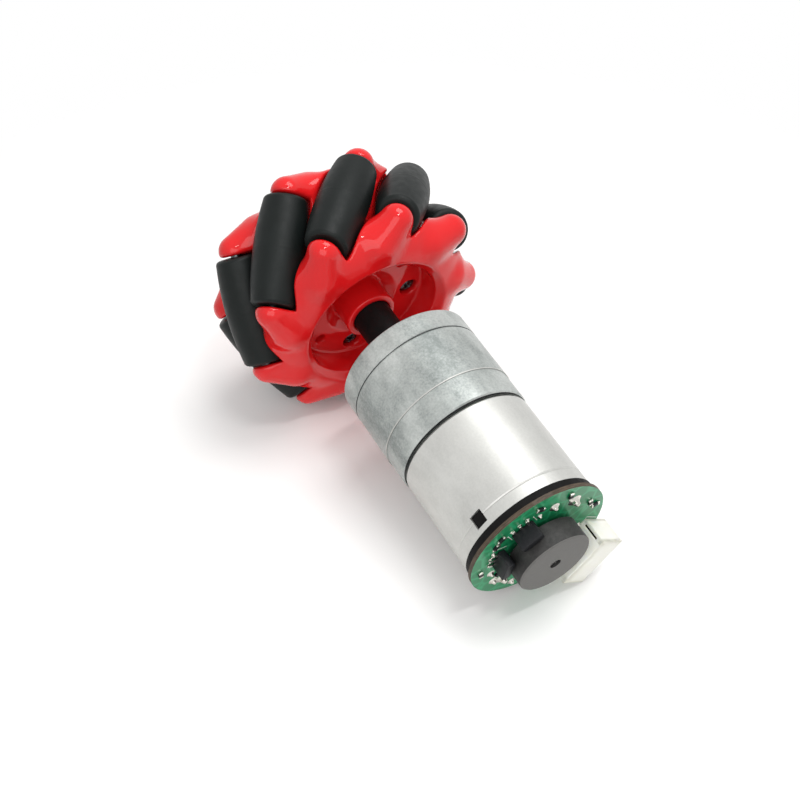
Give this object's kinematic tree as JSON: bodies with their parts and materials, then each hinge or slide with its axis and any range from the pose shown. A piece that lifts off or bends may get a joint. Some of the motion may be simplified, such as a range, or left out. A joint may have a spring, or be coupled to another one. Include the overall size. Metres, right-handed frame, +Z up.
{
  "type": "mecanum wheel with gear motor",
  "caption": "Mecanum wheel with slanted rubber rollers between moulded plates, on the shaft of a round gear motor with a magnetic encoder.",
  "frame": {"origin": "centre of the gearbox's mounting face, between its two bolt holes", "axes": "+Y along the output shaft towards the wheel, +Z up, +X through the bolt holes"},
  "size_m": [0.0482, 0.0807, 0.0482],
  "materials": {
    "red_plastic": "gloss",
    "roller_rubber": "matte",
    "gearbox_metal": "satin",
    "motor_metal": "satin",
    "hardware": "satin",
    "dark_steel": "satin",
    "coupling_black": "satin",
    "bush_brass": "satin",
    "core_steel": "matte",
    "winding_copper": "satin",
    "ferrite": "matte",
    "cap_plastic": "matte",
    "board_green": "satin",
    "sensor_black": "matte",
    "terminal_metal": "satin",
    "socket_white": "satin"
  },
  "bodies": {
    "motor": {"gearbox_cover": "gearbox_metal", "gearbox_case": "gearbox_metal", "gearbox_rear_plate": "gearbox_metal", "output_bush": "bush_brass", "lay_pin": "hardware", "gearbox_screws": "hardware", "motor_screws": "hardware", "motor_can": "motor_metal", "motor_end_cap": "cap_plastic", "field_magnets": "ferrite", "encoder_board": "board_green", "hall_sensors": "sensor_black", "motor_terminals": "terminal_metal", "plug_socket": "socket_white", "socket_pins": "terminal_metal"},
    "wheel": {"output_shaft": "hardware", "output_gear": "hardware", "coupling": "coupling_black", "coupling_set_screw": "hardware", "hub_washer": "hardware", "hub_screw": "hardware", "inner_plate": "red_plastic", "outer_plate": "red_plastic", "inner_plate_screws": "dark_steel", "outer_plate_screws": "dark_steel", "roller_axle_1": "dark_steel", "roller_axle_2": "dark_steel", "roller_axle_3": "dark_steel", "roller_axle_4": "dark_steel", "roller_axle_5": "dark_steel", "roller_axle_6": "dark_steel", "roller_axle_7": "dark_steel", "roller_axle_8": "dark_steel", "roller_axle_9": "dark_steel"},
    "rotor": {"rotor_shaft": "hardware", "motor_pinion": "hardware", "rotor_core": "core_steel", "rotor_windings": "winding_copper", "commutator": "winding_copper", "encoder_magnet": "ferrite"},
    "lay_gear_1": {"gear_1": "hardware"},
    "centre_gear_2": {"gear_2": "hardware"},
    "lay_gear_3": {"gear_3": "hardware"},
    "roller_1": {"roller_1": "roller_rubber"},
    "roller_2": {"roller_2": "roller_rubber"},
    "roller_3": {"roller_3": "roller_rubber"},
    "roller_4": {"roller_4": "roller_rubber"},
    "roller_5": {"roller_5": "roller_rubber"},
    "roller_6": {"roller_6": "roller_rubber"},
    "roller_7": {"roller_7": "roller_rubber"},
    "roller_8": {"roller_8": "roller_rubber"},
    "roller_9": {"roller_9": "roller_rubber"}
  },
  "joints": [
    {"name": "wheel_spin", "type": "hinge", "parent": "motor", "child": "wheel", "pos_m": [0, 0, 0], "axis": [0, 1, 0], "continuous": true},
    {"name": "roller_spin_1", "type": "hinge", "parent": "wheel", "child": "roller_1", "pos_m": [0.0186, 0.02192, 0.00533], "axis": [0.1949, 0.7071, -0.6797], "continuous": true},
    {"name": "roller_spin_2", "type": "hinge", "parent": "wheel", "child": "roller_2", "pos_m": [0.01768, 0.02192, -0.00787], "axis": [-0.2876, 0.7071, -0.646], "continuous": true},
    {"name": "roller_spin_3", "type": "hinge", "parent": "wheel", "child": "roller_3", "pos_m": [0.00848, 0.02192, -0.01739], "axis": [-0.6355, 0.7071, -0.31], "continuous": true},
    {"name": "roller_spin_4", "type": "hinge", "parent": "wheel", "child": "roller_4", "pos_m": [-0.00468, 0.02192, -0.01878], "axis": [-0.6861, 0.7071, 0.1711], "continuous": true},
    {"name": "roller_spin_5", "type": "hinge", "parent": "wheel", "child": "roller_5", "pos_m": [-0.01565, 0.02192, -0.01137], "axis": [-0.4156, 0.7071, 0.5721], "continuous": true},
    {"name": "roller_spin_6", "type": "hinge", "parent": "wheel", "child": "roller_6", "pos_m": [-0.0193, 0.02192, 0.00135], "axis": [0.0493, 0.7071, 0.7054], "continuous": true},
    {"name": "roller_spin_7", "type": "hinge", "parent": "wheel", "child": "roller_7", "pos_m": [-0.01392, 0.02192, 0.01344], "axis": [0.4912, 0.7071, 0.5087], "continuous": true},
    {"name": "roller_spin_8", "type": "hinge", "parent": "wheel", "child": "roller_8", "pos_m": [-0.00202, 0.02192, 0.01924], "axis": [0.7032, 0.7071, 0.0739], "continuous": true},
    {"name": "roller_spin_9", "type": "hinge", "parent": "wheel", "child": "roller_9", "pos_m": [0.01082, 0.02192, 0.01604], "axis": [0.5862, 0.7071, -0.3954], "continuous": true},
    {"name": "gear_3_spin", "type": "hinge", "parent": "motor", "child": "lay_gear_3", "pos_m": [0, 0, -0.00616], "axis": [0, 1, 0], "continuous": true},
    {"name": "gear_2_spin", "type": "hinge", "parent": "motor", "child": "centre_gear_2", "pos_m": [0, 0, 0], "axis": [0, 1, 0], "continuous": true},
    {"name": "gear_1_spin", "type": "hinge", "parent": "motor", "child": "lay_gear_1", "pos_m": [0, 0, -0.00616], "axis": [0, 1, 0], "continuous": true},
    {"name": "rotor_spin", "type": "hinge", "parent": "motor", "child": "rotor", "pos_m": [0, 0, 0], "axis": [0, 1, 0], "continuous": true}
  ],
  "couplings": [
    {"joint": "gear_3_spin", "follows": "wheel_spin", "ratio": -2.1111},
    {"joint": "gear_2_spin", "follows": "wheel_spin", "ratio": 4.4568},
    {"joint": "gear_1_spin", "follows": "wheel_spin", "ratio": -9.4088},
    {"joint": "rotor_spin", "follows": "wheel_spin", "ratio": 19.863}
  ]
}
